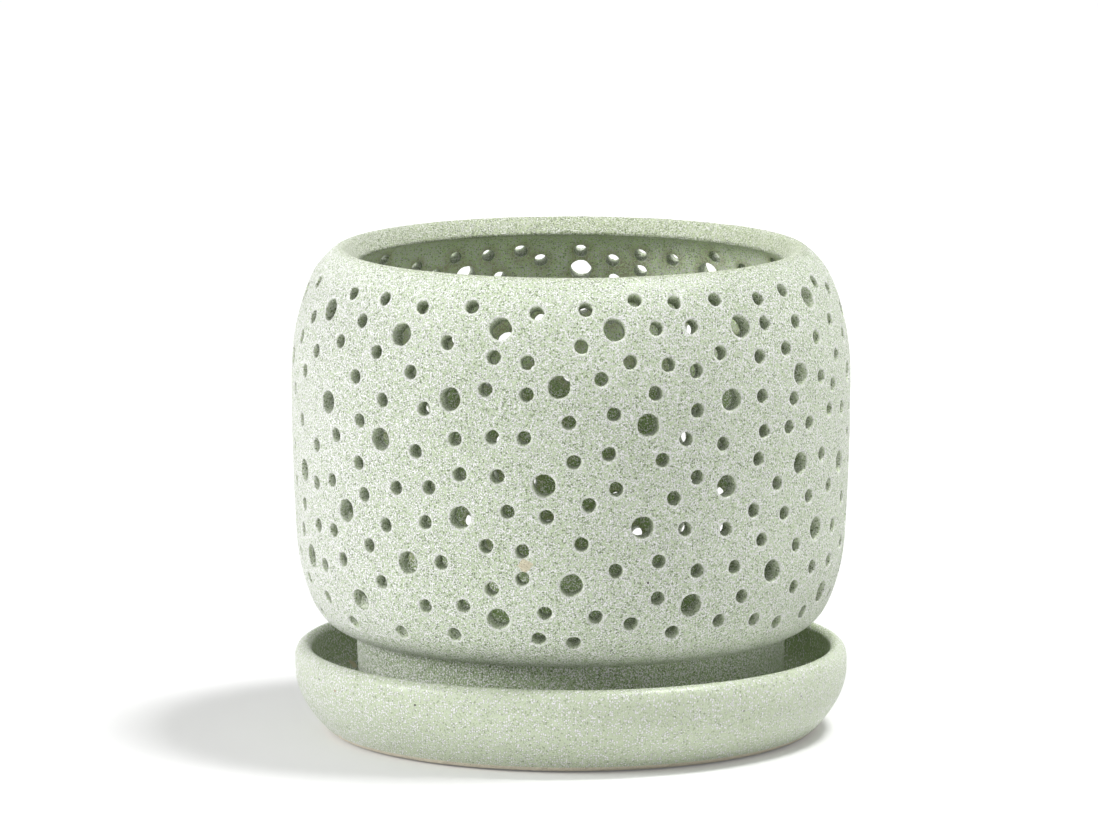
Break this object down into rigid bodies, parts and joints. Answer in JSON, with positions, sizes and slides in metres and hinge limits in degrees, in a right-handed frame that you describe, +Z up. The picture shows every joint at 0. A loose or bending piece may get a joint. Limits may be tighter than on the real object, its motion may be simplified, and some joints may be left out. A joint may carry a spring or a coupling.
{
  "type": "orchid pot with saucer",
  "caption": "Round glazed ceramic orchid pot, pierced all over with ventilation holes, on a loose matching saucer.",
  "frame": {"origin": "centre of the saucer's base, on the surface that it stands on", "axes": "+Z up along the pot's axis, -Y towards the side that the picture shows, +X to its right"},
  "size_m": [0.16, 0.16, 0.1394],
  "materials": {
    "pot_glaze": "matte pale green glaze, densely flecked with white",
    "saucer_glaze": "satin pale green glaze with sparse white flecks"
  },
  "bodies": {
    "saucer": {"saucer": "saucer_glaze"},
    "pot": {"pot": "pot_glaze"}
  },
  "joints": [
    {"name": "pot_lift", "type": "slide", "parent": "saucer", "child": "pot", "axis": [0, 0, 1], "range_m": [0, 0.06]}
  ]
}
